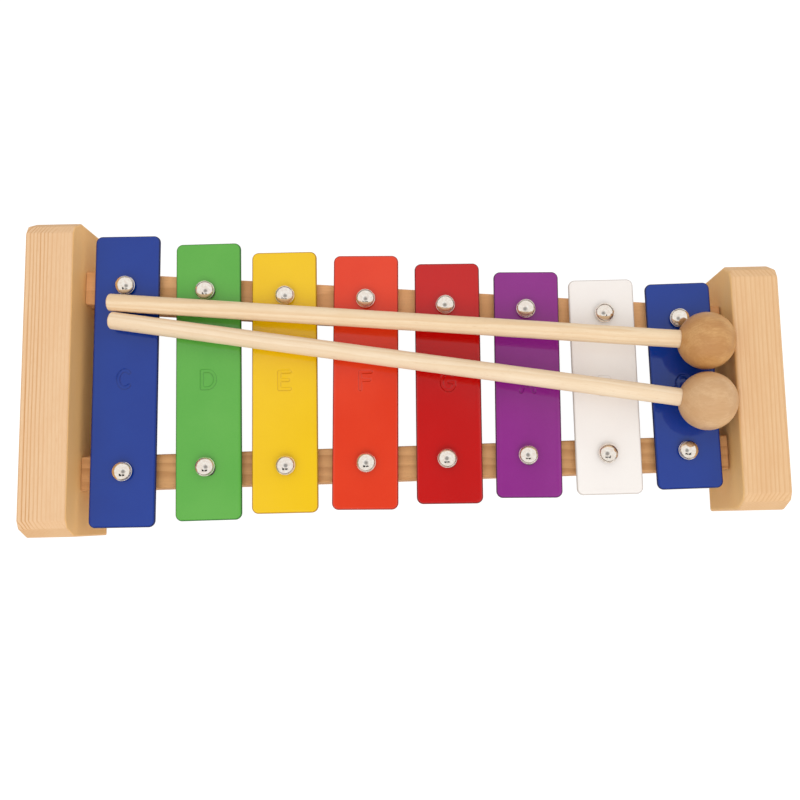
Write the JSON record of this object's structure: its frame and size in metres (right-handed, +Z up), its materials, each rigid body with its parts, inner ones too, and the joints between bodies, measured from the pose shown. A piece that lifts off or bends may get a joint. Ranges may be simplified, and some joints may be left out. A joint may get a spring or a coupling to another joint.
{
  "type": "toy metallophone",
  "caption": "Small table xylophone with coloured metal bars on wooden rails between end blocks, and wooden ball mallets lying on the bars.",
  "frame": {"origin": "on the table, under the middle of the object's bounding box", "axes": "+X from the low notes to the high notes, +Y away from the player, +Z up"},
  "size_m": [0.2756, 0.117, 0.0523],
  "materials": {
    "end_block_wood": "pale straight-grained softwood, fine sanded, thin clear coat",
    "rail_wood": "darker reddish-brown softwood strip, planed, uncoated",
    "nickel_plate": "bright nickel plate",
    "felt": "pressed wool felt",
    "blue_enamel": "glossy enamel",
    "green_enamel": "glossy enamel",
    "yellow_enamel": "glossy enamel",
    "orange_red_enamel": "glossy enamel",
    "red_enamel": "glossy enamel",
    "purple_enamel": "glossy enamel",
    "white_enamel": "glossy enamel",
    "mallet_stick_wood": "pale turned hardwood dowel, fine sanded",
    "mallet_ball_wood": "turned hardwood ball, lightly waxed"
  },
  "bodies": {
    "frame": {"left_end_block": "end_block_wood", "right_end_block": "end_block_wood", "rear_rail": "rail_wood", "rear_pins": "nickel_plate", "felt_washer_c_low_rear": "felt", "felt_washer_d_rear": "felt", "felt_washer_e_rear": "felt", "felt_washer_f_rear": "felt", "felt_washer_g_rear": "felt", "felt_washer_a_rear": "felt", "felt_washer_b_rear": "felt", "felt_washer_c_high_rear": "felt", "front_rail": "rail_wood", "front_pins": "nickel_plate", "felt_washer_c_low_front": "felt", "felt_washer_d_front": "felt", "felt_washer_e_front": "felt", "felt_washer_f_front": "felt", "felt_washer_g_front": "felt", "felt_washer_a_front": "felt", "felt_washer_b_front": "felt", "felt_washer_c_high_front": "felt"},
    "bar_c_low": {"bar_c_low": "blue_enamel"},
    "bar_d": {"bar_d": "green_enamel"},
    "bar_e": {"bar_e": "yellow_enamel"},
    "bar_f": {"bar_f": "orange_red_enamel"},
    "bar_g": {"bar_g": "red_enamel"},
    "bar_a": {"bar_a": "purple_enamel"},
    "bar_b": {"bar_b": "white_enamel"},
    "bar_c_high": {"bar_c_high": "blue_enamel"},
    "rear_mallet": {"rear_mallet_stick": "mallet_stick_wood", "rear_mallet_ball": "mallet_ball_wood"},
    "front_mallet": {"front_mallet_stick": "mallet_stick_wood", "front_mallet_ball": "mallet_ball_wood"}
  },
  "joints": [
    {"name": "bar_c_low_play", "type": "slide", "parent": "frame", "child": "bar_c_low", "axis": [0, 0, 1], "range_m": [0, 0.0003]},
    {"name": "bar_d_play", "type": "slide", "parent": "frame", "child": "bar_d", "axis": [0, 0, 1], "range_m": [0, 0.0003]},
    {"name": "bar_e_play", "type": "slide", "parent": "frame", "child": "bar_e", "axis": [0, 0, 1], "range_m": [0, 0.0003]},
    {"name": "bar_f_play", "type": "slide", "parent": "frame", "child": "bar_f", "axis": [0, 0, 1], "range_m": [0, 0.0003]},
    {"name": "bar_g_play", "type": "slide", "parent": "frame", "child": "bar_g", "axis": [0, 0, 1], "range_m": [0, 0.0003]},
    {"name": "bar_a_play", "type": "slide", "parent": "frame", "child": "bar_a", "axis": [0, 0, 1], "range_m": [0, 0.0003]},
    {"name": "bar_b_play", "type": "slide", "parent": "frame", "child": "bar_b", "axis": [0, 0, 1], "range_m": [0, 0.0003]},
    {"name": "bar_c_high_play", "type": "slide", "parent": "frame", "child": "bar_c_high", "axis": [0, 0, 1], "range_m": [0, 0.0003]},
    {"name": "rear_mallet_lift_off", "type": "slide", "parent": "frame", "child": "rear_mallet", "axis": [0, 0, 1], "range_m": [0, 0.08]},
    {"name": "front_mallet_lift_off", "type": "slide", "parent": "frame", "child": "front_mallet", "axis": [0, 0, 1], "range_m": [0, 0.08]}
  ]
}
